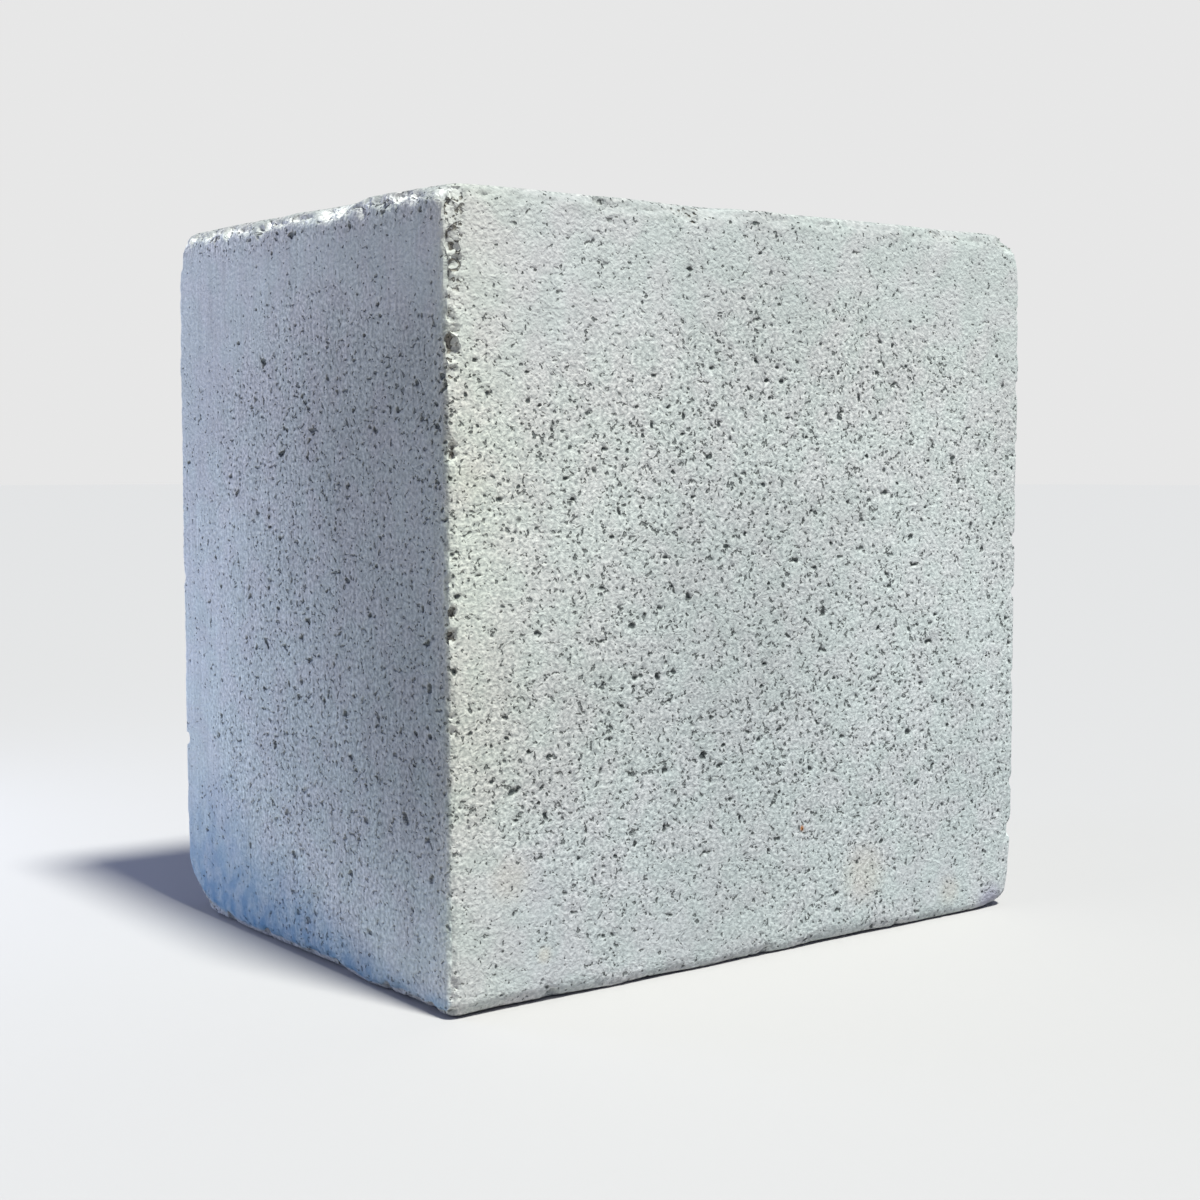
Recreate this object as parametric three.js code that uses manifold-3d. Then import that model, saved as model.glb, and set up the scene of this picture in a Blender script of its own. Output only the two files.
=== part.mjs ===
// A solid half block of pressed concrete, as used at the ends and openings of a wall of 390 mm blocks.
// It is one piece, pressed in a steel mould and pushed out while still green, so its faces are flat and
// its arrises are rounded and crumbled. Millimetres. The origin is the centre of the bottom bed face,
// +X runs along the wall, +Y through it, and +Z is up.

import * as THREE from "three";
import { ImprovedNoise } from "three/addons/math/ImprovedNoise.js";
import { mergeVertices } from "three/addons/utils/BufferGeometryUtils.js";
import Module from "manifold-3d";

const wasm = await Module();
wasm.setup();

// ---- Driving dimensions ---------------------------------------------------------------------------

const LENGTH = 190; // along the wall: half of a 390 mm block, less half of its 10 mm joint
const WIDTH = 140; // through the wall
const HEIGHT = 190; // one 200 mm course, less its 10 mm bed joint

const BED_ARRIS_RADIUS = 3; // the rounding of the arrises round the bottom bed
const TOP_ARRIS_WEAR = 1.3; // how much more rounding those round the top bed have
const UPRIGHT_ARRIS_RADIUS = 0.9; // the rounding of the four upright arrises, at half height
const UPRIGHT_EVENNESS = 8; // the higher it is, the nearer to the beds they start to grow rounder
const ARRIS_WOBBLE = 0.37; // the share that the rounding grows and shrinks by along an edge
const WOBBLE_LENGTH = 17; // the length of one swell of the wobble
const ARRIS_FULLNESS = 1.7; // the shape of the rounding: 2 is a true round, 1 a flat bevel

// What handling has taken off the corners: which corner it is, how much it adds to the rounding along X,
// Y and Z, and how far from the corner it runs along each of them.
const CORNER_WEAR = [
  { corner: [-1, 1, -1], added: [1, 13, 6], reach: [40, 20, 10] }, // knocked, at the back of the left end
  { corner: [1, -1, 1], added: [2, 2, 2], reach: [11, 11, 11] },
  { corner: [1, -1, -1], added: [2, 2, 2], reach: [10, 10, 10] },
  { corner: [-1, 1, 1], added: [2, 2, 2], reach: [10, 10, 10] },
  { corner: [1, 1, 1], added: [3, 3, 3], reach: [12, 12, 12] },
];

const CRUMB_PITCH = 24; // one crumbled spot for each of these lengths of arris
const RAGGED_PITCH = 9; // the same on the ragged arris, between the left end and the top bed
const CRUMB_SIZE = 5; // the usual size of the lump that has dropped out
const CRUMB_DEPTH = 1.3; // how far such a lump reached in below the rounding
const CRUMB_UNEVENNESS = 0.4; // the share that this size and depth grow or shrink by from spot to spot

// The breaks on the front left arris: height above the bottom bed, size of the break, depth, and how far
// its middle lies from the arris on the front face.
const BREAKS = [
  { height: 7.5, size: 4, depth: 1.3, across: 1.2 },
  { height: 68.5, size: 3.5, depth: 1.3, across: 0.8 },
  { height: 75, size: 3, depth: 0.9, across: 0.6 },
  { height: 88.8, size: 4.5, depth: 1.6, across: 1.6 },
  { height: 93, size: 4, depth: 1.8, across: 0.8 },
  { height: 99.5, size: 3, depth: 1.1, across: 0.6 },
  { height: 106, size: 3.5, depth: 1.0, across: 1.6 },
  { height: 130.5, size: 4.5, depth: 1.5, across: 1.2 },
  { height: 144.5, size: 4, depth: 1.4, across: 1.2 },
  { height: 148.5, size: 4.5, depth: 1.2, across: 2.4 },
  { height: 153, size: 6, depth: 2.6, across: 1.6 },
  { height: 158.5, size: 4, depth: 1.2, across: 1.8 },
  { height: 168.5, size: 3, depth: 1.0, across: 0.8 },
  { height: 173, size: 4, depth: 1.2, across: 2.6 },
  { height: 176.5, size: 5, depth: 1.7, across: 1.2 },
  { height: 180.5, size: 3.5, depth: 1.2, across: 3 },
  { height: 184, size: 4.5, depth: 1.8, across: 1.8 },
  { height: 187.5, size: 5, depth: 1.6, across: 3.6 },
];
const BREAK_FACING = new THREE.Vector3(-0.5, -1, 0).normalize(); // the way that the breaks open
const BREAK_LUMPS = 3; // a break is this many lumps that have dropped out side by side
const BREAK_LUMP_SHARE = 0.75; // the size of each lump, as a share of the break's
const LUMP_ROUGHNESS = 0.6; // how uneven the lumps are: 0 is round
const LUMP_STRETCH = 0.6; // how much longer than wide a lump may be

// ---- Facets ---------------------------------------------------------------------------------------

const ROUNDING_STEPS = 3; // grid steps across half of an arris's rounding
const WEAR_STEPS = 3; // grid steps from there to where the most worn corner ends
const EDGE_STEP = 10; // the longest grid step along an edge

const HALF = new THREE.Vector3(LENGTH / 2, WIDTH / 2, HEIGHT / 2);
const CENTRE_HEIGHT = HALF.z; // the body is shaped about its middle and then stood on its bed
const ROUNDING_REACH = (BED_ARRIS_RADIUS + TOP_ARRIS_WEAR) * (1 + ARRIS_WOBBLE);
const WORN_REACH = ROUNDING_REACH + Math.max(...CORNER_WEAR.flatMap(({ added }) => added));

// ---- Helpers --------------------------------------------------------------------------------------

const noise = new ImprovedNoise();

// Smooth noise from -1 to 1 at a point, with swells of the length given.
function swell(point, length, layer = 0) {
  const p = point.clone().divideScalar(length);
  return noise.noise(p.x + layer, p.y + layer, p.z + layer);
}

// A repeatable run of numbers from 0 to 1.
function dice(seed) {
  let state = seed;
  return () => {
    state = (state + 0x6d2b79f5) | 0;
    let t = Math.imul(state ^ (state >>> 15), 1 | state);
    t = (t + Math.imul(t ^ (t >>> 7), 61 | t)) ^ t;
    return ((t ^ (t >>> 14)) >>> 0) / 2 ** 32;
  };
}

function solidOf(geometry) {
  const bare = geometry.index ? geometry.clone() : geometry;
  bare.deleteAttribute("normal");
  bare.deleteAttribute("uv");
  const merged = mergeVertices(bare, 1e-4);
  return new wasm.Manifold(
    new wasm.Mesh({
      numProp: 3,
      vertProperties: new Float32Array(merged.attributes.position.array),
      triVerts: new Uint32Array(merged.index.array),
    }),
  );
}

function geometryOf(solid) {
  const mesh = solid.getMesh();
  const geometry = new THREE.BufferGeometry();
  geometry.setAttribute("position", new THREE.BufferAttribute(mesh.vertProperties, mesh.numProp));
  geometry.setIndex(new THREE.BufferAttribute(mesh.triVerts, 1));
  geometry.computeVertexNormals();
  return geometry;
}

// ---- The pressed body -----------------------------------------------------------------------------

// The rounding of the nearest arris at a point of the sharp-edged block, along X, Y and Z.
function arrisRadii(point) {
  const nearBed = Math.abs(point.z / HALF.z) ** UPRIGHT_EVENNESS;
  const wobble = 1 + 2 * ARRIS_WOBBLE * swell(point, WOBBLE_LENGTH);
  const bedRadius = BED_ARRIS_RADIUS + (point.z > 0 ? TOP_ARRIS_WEAR * nearBed : 0);
  const sideRadius = THREE.MathUtils.lerp(UPRIGHT_ARRIS_RADIUS, bedRadius, nearBed);
  const radii = [wobble * sideRadius, wobble * sideRadius, wobble * bedRadius];
  for (const { corner, added, reach } of CORNER_WEAR) {
    const away = new THREE.Vector3(...corner).multiply(HALF).sub(point).toArray().map(Math.abs);
    if (away.some((distance, axis) => distance > HALF.getComponent(axis))) continue;
    const share = away.map((distance, axis) => Math.exp(-((distance / reach[axis]) ** 4)));
    for (const axis of [0, 1, 2]) {
      radii[axis] += added[axis] * share[(axis + 1) % 3] * share[(axis + 2) % 3];
    }
  }
  return new THREE.Vector3(...radii);
}

// Evenly spaced places from one to another, without the last.
function run(from, to, steps) {
  return Array.from({ length: steps }, (_, i) => from + ((to - from) * i) / steps);
}

// Grid places along one side of the block: close together where the arrises round over, wider between.
function stations(half) {
  const margin = [
    ...run(0, ROUNDING_REACH, ROUNDING_STEPS),
    ...run(ROUNDING_REACH, WORN_REACH, WEAR_STEPS),
  ];
  const inner = half - WORN_REACH;
  const middle = run(-inner, inner, Math.ceil((2 * inner) / EDGE_STEP));
  return [...margin.map((d) => d - half), ...middle, inner, ...margin.reverse().map((d) => half - d)];
}

// A point of the sharp-edged cuboid, drawn in on to the rounding if it is near an edge.
function rounded(point) {
  const radii = arrisRadii(point);
  const inset = HALF.clone().sub(radii);
  const core = point.clone().clamp(inset.clone().negate(), inset);
  const past = point.clone().sub(core).divide(radii);
  const reach = past.toArray().map(Math.abs);
  const onFlatFace = reach.filter((share) => share > 0).length < 2;
  const fullness = reach.reduce((sum, share) => sum + share ** ARRIS_FULLNESS, 0);
  const drawnIn = past.divideScalar(fullness ** (1 / ARRIS_FULLNESS)).multiply(radii).add(core);
  return onFlatFace ? point : drawnIn;
}

// One face: a grid of small facets round its margin, and a fan from its centre to them.
function faceTriangles(axis, sign) {
  const [across, up] = [(axis + 1) % 3, (axis + 2) % 3];
  const [us, vs] = [across, up].map((a) => stations(HALF.getComponent(a)));
  const at = (u, v) => {
    const point = new THREE.Vector3();
    point.setComponent(axis, sign * HALF.getComponent(axis));
    return point.setComponent(across, u).setComponent(up, v);
  };
  const margin = ROUNDING_STEPS + WEAR_STEPS;
  const inMiddle = (i, count) => i >= margin && i < count - 1 - margin;
  const triangles = [];
  const add = (...corners) => triangles.push(sign > 0 ? corners : corners.reverse());
  const centre = at(0, 0);
  for (let i = 0; i < us.length - 1; i++) {
    for (let j = 0; j < vs.length - 1; j++) {
      const [a, b, c, d] = [
        at(us[i], vs[j]),
        at(us[i + 1], vs[j]),
        at(us[i + 1], vs[j + 1]),
        at(us[i], vs[j + 1]),
      ].map(rounded);
      const [inU, inV] = [inMiddle(i, us.length), inMiddle(j, vs.length)];
      if (!(inU && inV)) {
        add(a, b, c);
        add(a, c, d);
        continue;
      }
      if (j === margin) add(centre, a, b);
      if (i === us.length - 2 - margin) add(centre, b, c);
      if (j === vs.length - 2 - margin) add(centre, c, d);
      if (i === margin) add(centre, d, a);
    }
  }
  return triangles;
}

function pressedBody() {
  const corners = [0, 1, 2].flatMap((axis) => [1, -1].flatMap((sign) => faceTriangles(axis, sign).flat()));
  return solidOf(new THREE.BufferGeometry().setFromPoints(corners));
}

// ---- Crumbled arrises -----------------------------------------------------------------------------

// A stone-like lump, to be cut out of an arris. It lies outside the rounding but for its depth.
function lump({ at, outward, size, depth, random }) {
  const geometry = new THREE.IcosahedronGeometry(size / 2);
  const position = geometry.attributes.position;
  const point = new THREE.Vector3();
  const layer = random() * 100;
  for (let i = 0; i < position.count; i++) {
    point.fromBufferAttribute(position, i);
    point.multiplyScalar(1 + LUMP_ROUGHNESS * swell(point, size / 2, layer));
    position.setXYZ(i, point.x, point.y, point.z);
  }
  geometry.scale(1, 1, 1 + LUMP_STRETCH * random());
  geometry.rotateX(random() * Math.PI * 2);
  geometry.rotateY(random() * Math.PI * 2);
  const centre = rounded(at).addScaledVector(outward, size / 2 - depth);
  geometry.translate(centre.x, centre.y, centre.z);
  return solidOf(geometry);
}

// The twelve edges of the block: the middle of each, the axis it runs along and half its length.
function edges() {
  const found = [];
  for (const axis of [0, 1, 2]) {
    for (const first of [-1, 1]) {
      for (const second of [-1, 1]) {
        const side = new THREE.Vector3();
        side.setComponent((axis + 1) % 3, first);
        side.setComponent((axis + 2) % 3, second);
        found.push({ axis, side, half: HALF.getComponent(axis) });
      }
    }
  }
  return found;
}

const isFrontLeft = ({ side }) => side.x < 0 && side.y < 0;
const isRagged = ({ side }) => side.x < 0 && side.z > 0;

// Small crumbled spots at uneven places along the other edges.
function crumbs() {
  const random = dice(7);
  const uneven = () => 1 + CRUMB_UNEVENNESS * (2 * random() - 1);
  const lumps = [];
  for (const edge of edges().filter((edge) => !isFrontLeft(edge))) {
    const { axis, side, half } = edge;
    const count = Math.round((2 * half) / (isRagged(edge) ? RAGGED_PITCH : CRUMB_PITCH));
    for (let i = 0; i < count; i++) {
      const at = side.clone().multiply(HALF);
      at.setComponent(axis, half * ((2 * (i + random())) / count - 1));
      const [size, depth] = [CRUMB_SIZE * uneven(), CRUMB_DEPTH * uneven()];
      lumps.push(lump({ at, outward: side.clone().normalize(), size, depth, random }));
    }
  }
  return lumps;
}

// The breaks on the arris between the front face and the left end.
function frontLeftBreaks() {
  const random = dice(23);
  const lumpOf = ({ height, size, depth, across }, i) => {
    const up = (size / 2) * ((2 * (i + random())) / BREAK_LUMPS - 1);
    const aside = (size / 4) * (2 * random() - 1);
    const at = new THREE.Vector3(across + aside - HALF.x, -HALF.y, height + up - CENTRE_HEIGHT);
    const reached = depth * (1 - random() / 2);
    return lump({ at, outward: BREAK_FACING, size: size * BREAK_LUMP_SHARE, depth: reached, random });
  };
  return BREAKS.flatMap((found) => Array.from({ length: BREAK_LUMPS }, (_, i) => lumpOf(found, i)));
}

// ---- The block ------------------------------------------------------------------------------------

const lost = [...crumbs(), ...frontLeftBreaks()];
const body = lost.reduce((solid, piece) => solid.subtract(piece), pressedBody());

const concrete = new THREE.MeshStandardMaterial({
  name: "pressed_concrete",
  color: 0xbcc4c2,
  roughness: 0.95,
  metalness: 0,
  flatShading: true,
});

const block = new THREE.Mesh(geometryOf(body), concrete);
block.name = "half_block";
block.position.z = CENTRE_HEIGHT;

const concreteBlock = new THREE.Group();
concreteBlock.name = "concrete_half_block";
concreteBlock.add(block);

export default concreteBlock;
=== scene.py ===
"""Dresses a solid half block of pressed concrete and sets it on a pale floor.

The block is one piece of stock: flat pressed faces full of small pits and sand grain, with crumbled
arrises, drag streaks from the mould and a few stains. Lengths are metres in the part's own frame:
+X runs along the wall, +Y through it and +Z up, and the block stands on the floor at z = 0.
"""

import math
from collections import namedtuple

import bpy
from bpy.props import FloatProperty, FloatVectorProperty, IntProperty, PointerProperty
from bpy.types import NodeSocket, Operator, Panel, PropertyGroup
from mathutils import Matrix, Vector


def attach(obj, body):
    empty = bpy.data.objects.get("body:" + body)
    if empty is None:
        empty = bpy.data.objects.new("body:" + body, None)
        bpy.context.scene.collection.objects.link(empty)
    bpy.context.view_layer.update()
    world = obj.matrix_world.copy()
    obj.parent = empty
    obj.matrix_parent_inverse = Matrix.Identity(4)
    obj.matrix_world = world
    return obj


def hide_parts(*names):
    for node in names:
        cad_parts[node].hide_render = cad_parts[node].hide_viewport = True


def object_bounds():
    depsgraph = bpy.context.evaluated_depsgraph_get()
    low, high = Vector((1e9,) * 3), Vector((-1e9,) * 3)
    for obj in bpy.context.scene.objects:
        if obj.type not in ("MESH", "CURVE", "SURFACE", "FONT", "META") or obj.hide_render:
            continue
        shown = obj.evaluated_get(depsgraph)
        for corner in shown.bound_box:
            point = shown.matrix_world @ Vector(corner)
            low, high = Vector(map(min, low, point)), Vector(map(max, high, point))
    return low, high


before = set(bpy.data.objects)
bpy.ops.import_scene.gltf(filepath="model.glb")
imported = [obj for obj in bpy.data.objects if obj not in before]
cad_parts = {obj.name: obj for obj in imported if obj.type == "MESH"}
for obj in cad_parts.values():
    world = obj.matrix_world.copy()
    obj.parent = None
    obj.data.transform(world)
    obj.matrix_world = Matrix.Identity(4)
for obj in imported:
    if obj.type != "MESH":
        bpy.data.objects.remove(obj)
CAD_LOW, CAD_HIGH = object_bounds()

bl_info = {
    "name": "Concrete half block",
    "version": (1, 0, 0),
    "blender": (4, 5, 0),
    "location": "View3D > Sidebar > Block",
    "description": "Dresses a pressed-concrete half block and its stage",
    "category": "Object",
}

BLOCK_NODE = "half_block"

# What the mesh keeps at each of its points for the concrete to read.
PRESSED_PLACE = "pressed_place"  # where the point was before it crumbled
CROWDING = "crowding"  # how closely the pits crowd together
CRUMBS = "crumbs"  # how far the skin is loose, pale crumbs
SHADED_GAPS = "gaps"  # how much painted shade darkens it, in gaps between crumbs and in deep breaks
DUST_AND_HIGHLIGHT = "dust_and_highlight"  # how far bright dust and a painted highlight cover it

CENTRE = (CAD_LOW + CAD_HIGH) / 2
HALF = (CAD_HIGH - CAD_LOW) / 2
LEFT, FRONT, TOP = CAD_LOW.x, CAD_LOW.y, CAD_HIGH.z
BACK = -FRONT

# A fade gives where it starts, where it ends and, unless it runs from 0 to 1, what it is before and
# after. Those whose names end in X, Y or Z run along that axis.

LEFT_END_X = (LEFT + 0.0010, LEFT + 0.0002)  # where the long faces turn into the left end
NOISE_MIDDLE = 0.5  # what the values of noise keep near

# How the pits crowd together on the long faces, as shares of the crowding that a user sets.
FACE_TOP_Z = (TOP - 0.005, TOP - 0.060, -0.9, 1.0)
FACE_FOOT_Z = (0.005, 0.060, -0.15, 1.0)
FACE_ASIDE = (0.015, HALF.x, 0.18, -0.6)  # from the middle of the length
FACE_BED_ARRISES = (HALF.z - 0.0012, HALF.z - 0.0004, -1.5, 0.8)  # from the middle of the height
FACE_LEFT_ARRIS_X = (LEFT + 0.0040, LEFT + 0.0015, 0.0, 1.2)

# The same on the left end, with a cluster below the middle of its top arris.
END_TOP_Z = (TOP - 0.007, TOP - 0.054, -1.4, 1.1)
END_BACK_Y = (BACK - 0.003, BACK - 0.062, -2.2, 0.0)
END_FOOT_Z = (0.003, 0.045, -0.9, 0.0)
END_ARRIS_Z = (TOP - 0.012, TOP - 0.006, -2.5, 0.7)
CLUSTER_Y = -0.010
CLUSTER_ASIDE = (0.030, 0.010)  # from its middle
CLUSTER_FOOT_Z = (TOP - 0.055, TOP - 0.030)
CLUSTER_TOP_Z = (TOP - 0.003, TOP - 0.014)

END_HOLLOWS_Z = (TOP - 0.0085, TOP - 0.0055, 0.019, -0.030)  # what makes the hollows of the left end rarer
PATCHES = (0.33, 0.64, -0.5, 0.5)  # the noise that makes the patches of pits
CLUSTERS = (0.33, 0.67)  # the noise that makes the small clusters of pits
PIT_RAGGED = 0.4  # how far the rims of the pits are pushed about, as a share of their raggedness' length
LONGER_THROUGH = 1.39  # how much longer the pits run through the wall than along it

# How the arrises crumble. Shares are of the crumb reach.
RIM_LENGTH, RIM_REACH = 1.2, 1.4  # the raggedness of the crumbled zone's rim
RIM = (1.6, 0.8)  # where the zone ends and where it is full, in from the arris
NEAR_BED = (3.0, 1.0)  # where the strong crumbling at a bed ends and where it is full
CRUMBLING_Z = (0.03, 0.16, 0.25, 1.0)
CRUMBLED_END_X = (LEFT + 0.008, LEFT + 0.005)  # how far round its corners the left end's crumbling reaches
BED_CURVE = 8.0  # how late the rounding starts to grow towards the beds
BROKEN_DEPTH = (0.0002, 0.0007)  # how deep below the pressed skin counts as broken out
DEEP_BREAK = (0.0008, 0.0018)  # how deep a break must be to take painted shade

# The crumbled strip of the front face. Shares are of the strip's reach and of its foot.
STRIP_SIDE, STRIP_FOOT = (1.6, 1.1), (1.4, 0.9)
STRIP_FRONT_Y = (FRONT + 0.006, FRONT + 0.003)
STRIP_OFF_END_X = (LEFT + 0.0001, LEFT + 0.0004)

# The lumps, and the grit that is a share of their size.
LUMP_RAGGED, GRIT_SIZE = 0.9, 0.45
LUMP_GAPS, GRIT_GAPS = (0.25, 0.8, 0.0, 0.65), (0.2, 0.8, 0.0, 0.35)
TOOTH_NOISE, TOOTH_ROUGHNESS = (0.4, 0.66), 0.6
TOOTHED_BY_END = (0.0, 1.0, 0.4, 1.0)

# The bright dust and painted highlight along the left end's top arris, and the painted shade in the gaps
# between crumbs.
DUST_AND_HIGHLIGHT_Z = (TOP - 0.018, TOP - 0.004)
DUST_AND_HIGHLIGHT_Y = (FRONT + 0.0015, FRONT + 0.005)
SHOWN_GAPS = (0.3, 0.8, 0.0, 0.55)
SHOWN_UNDER_DUST_AND_HIGHLIGHT = (0.0, 0.3, 1.0, 0.05)
SHOWN_BY_OPEN_ARRIS = (0.0, 1.0, 0.12, 1.0)

# The left arris of the front face, where painted shade darkens what has broken out.
OPEN_ARRIS_X = (LEFT + 0.012, LEFT + 0.008)
OPEN_ARRIS_Y = (FRONT + 0.012, FRONT + 0.008)

SHARP_ANGLE = math.radians(45)

# Slow changes of tone. Tones come in pairs of colours that the concrete is multiplied by.
DRIFT_LENGTH, DRIFT_TONES = 0.032, ((0.90, 0.90, 0.90), (1.08, 1.08, 1.08))
TINT_LENGTH, TINT_NOISE, TINT_TONES = 0.008, (0.3, 0.7), ((1.015, 0.99, 1.0), (0.985, 1.007, 0.997))
TINT_SHIFT = (0.7, 0.2, 0.4)  # keeps the tints apart from the drift
CLUSTER_TONES = ((1.03, 1.03, 1.03), (0.97, 0.97, 0.97))

# Painted light and shade, as the light falls: each long face darker and bluer at its foot and paler at its
# top, and the left end paler and bluer at its foot and darker towards its front arris.
RISE_Z = (0.03, 0.17)
FACE_LIGHT_TONES = ((0.91, 0.93, 0.95), (1.04, 1.035, 1.02))
END_LIGHT_TONES = ((1.055, 1.10, 1.13), (0.96, 0.95, 0.96))
END_ACROSS_Y, END_BACK_TONE = (FRONT, 0.8 * BACK), 1.04
END_FRONT_TONE_Z = (0.135, 0.178, 0.60, 0.78)
END_LIFT_Z = (0.135, 0.178, 0.0, 0.10)
END_EVEN_Z, END_EVEN_TONE = (0.055, 0.012), 0.985
# Painted shade: the top bed and the top few millimetres of the long faces darker, where the steep key
# light falls hardest.
FACE_TOP_SHADE_Z = (TOP - 0.0065, TOP - 0.0030, 1.0, 0.78)

# The paler and warmer zone of the front face beside its left arris.
UNTONED = (1.0, 1.0, 1.0)
PALER_X, PALER_Y = (LEFT + 0.03, LEFT), (FRONT + 0.010, FRONT + 0.001)
PALER_TONES = (UNTONED, (1.07, 1.06, 1.0))
WARM_X, WARM_TONES = (LEFT + 0.080, LEFT + 0.010), (UNTONED, (1.0, 0.975, 0.985))
WARM_MIDDLE = (0.070, 0.030)  # from the middle of the height
WARM_MIDDLE_TONES = (UNTONED, (1.0, 1.0, 0.95))

# The drag streaks that the mould leaves, which run up the block.
STREAK_LENGTH, STREAK_STRETCH = 0.0011, (1.0, 1.0, 0.035)
STREAK_TONES = ((0.82, 0.82, 0.82), (1.17, 1.17, 1.17))
STREAKS_ON_END, STREAKS_ON_ALL = 0.6, 0.4

# The stains and broad tone patches: the colour's name, where the middle is, its radius, and how strong it
# is.
STAINS = (
    # The shade and paler patches only make broad parts of the front face darker and paler.
    ("shade", (-0.003, FRONT, 0.085), 0.062, 0.22),
    ("shade", (-0.005, FRONT, 0.022), 0.038, 0.16),
    ("shade", (-0.005, FRONT, 0.166), 0.038, 0.16),
    ("paler_patch", (0.062, FRONT, 0.090), 0.075, 0.12),
    ("paler_patch", (-0.078, FRONT, 0.115), 0.055, 0.12),
    ("rust", (0.0134, FRONT, 0.0320), 0.0012, 1.0),
    ("sandy", (0.0360, FRONT, 0.0170), 0.0110, 0.30),
    ("sandy", (0.0693, FRONT, 0.0078), 0.0060, 0.25),
    ("sandy", (-0.0787, FRONT, 0.0309), 0.0080, 0.22),
    ("sandy", (-0.0890, FRONT, 0.1235), 0.0070, 0.15),
    ("sandy", (-0.0688, FRONT, 0.0116), 0.0030, 0.35),
    ("bruise", (0.0860, FRONT, 0.0025), 0.0070, 0.6),
)
STAIN_CORE = 0.2  # the share of its radius within which a stain is full

# Painted shade: the blue shade at the foot of the left end, how high it reaches from front to back, and
# its ragged rim.
FOOT_SHADE_REACH_Y = (FRONT + 0.005, BACK, 0.009, 0.050)
FOOT_SHADE_LENGTH, FOOT_SHADE_NOISE = 0.03, (0.3, 0.7, 0.85, 1.15)
FOOT_SHADE_CURVE, FOOT_SHADE_STRENGTH = 1.5, 0.95
FOOT_SHADE_PATCH_LENGTH, FOOT_SHADE_PATCHES = 0.005, (0.33, 0.67, 0.7, 1.2)

# How the sand, the crumbs, the dust and painted highlight, and the painted shade in the pits and the
# cracks show in the concrete.
SAND_TONES = (0.27, 0.73)
BARE_PASTE = (0.65, 0.15)  # how far plain cement hides the sand: where there are few pits, and where many
WORN_DARKEST = 0.8  # the darkest crumbs, as a share of the worn colour
CRUMBS_BY_END = (0.0, 1.0, 1.0, 0.3)
CRUMBS_X = (LEFT + 0.012, LEFT + 0.030, 0.65, 0.15)
SPECKLED_DUST_AND_HIGHLIGHT = (0.42, 0.58, 0.30, 1.0)  # over the sand's tone
COVER_OF_DUST_AND_HIGHLIGHT = (0.0, 1.0, 1.0, 0.55)
END_LESS_PIT_SHADE_Z = (0.080, 0.020, 0.18, 0.38)  # how far less shade is painted into the left end's pits: most at its foot
FULL_COVER, COVERED_PIT = 0.7, 0.1  # the cover that hides a pit's painted shade, and the share that still shows
# How strongly shade is painted into the small pits and into the larger hollows.
PIT_SHADE, HOLLOW_SHADE = 0.74, 0.93
CRACK_NOISE, GAP_IN_CRACKS = (0.585, 0.74), 0.28
CRACKS_BY_END = (0.0, 1.0, 1.0, 0.15)
CRACKS_UNDER_DUST_AND_HIGHLIGHT = (0.0, 0.3, 1.0, 0.1)

# The Mix node's sockets, whose names repeat: for numbers, then for colours.
MIX_NUMBERS, MIX_NUMBER = (0, 2, 3), 0
MIX_COLOURS, MIX_COLOUR = (0, 6, 7), 2

LEVEL = math.radians(90)  # tips a camera from looking down to looking level


def size(name, text, default):
    return FloatProperty(name=name, description=text, default=default, unit="LENGTH", precision=5)


def share(name, text, default):
    return FloatProperty(name=name, description=text, default=default, min=0, subtype="FACTOR")


def colour(name, text, default):
    return FloatVectorProperty(
        name=name, description=text, default=default, min=0, max=1, subtype="COLOR"
    )


def number(name, text, default):
    return FloatProperty(name=name, description=text, default=default)


def angle(name, text, degrees):
    return FloatProperty(
        name=name, description=text, default=math.radians(degrees), subtype="ANGLE"
    )


def place_or_way(name, text, default, subtype):
    return FloatVectorProperty(name=name, description=text, default=default, subtype=subtype)


# ---- What a user would change ----


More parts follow.
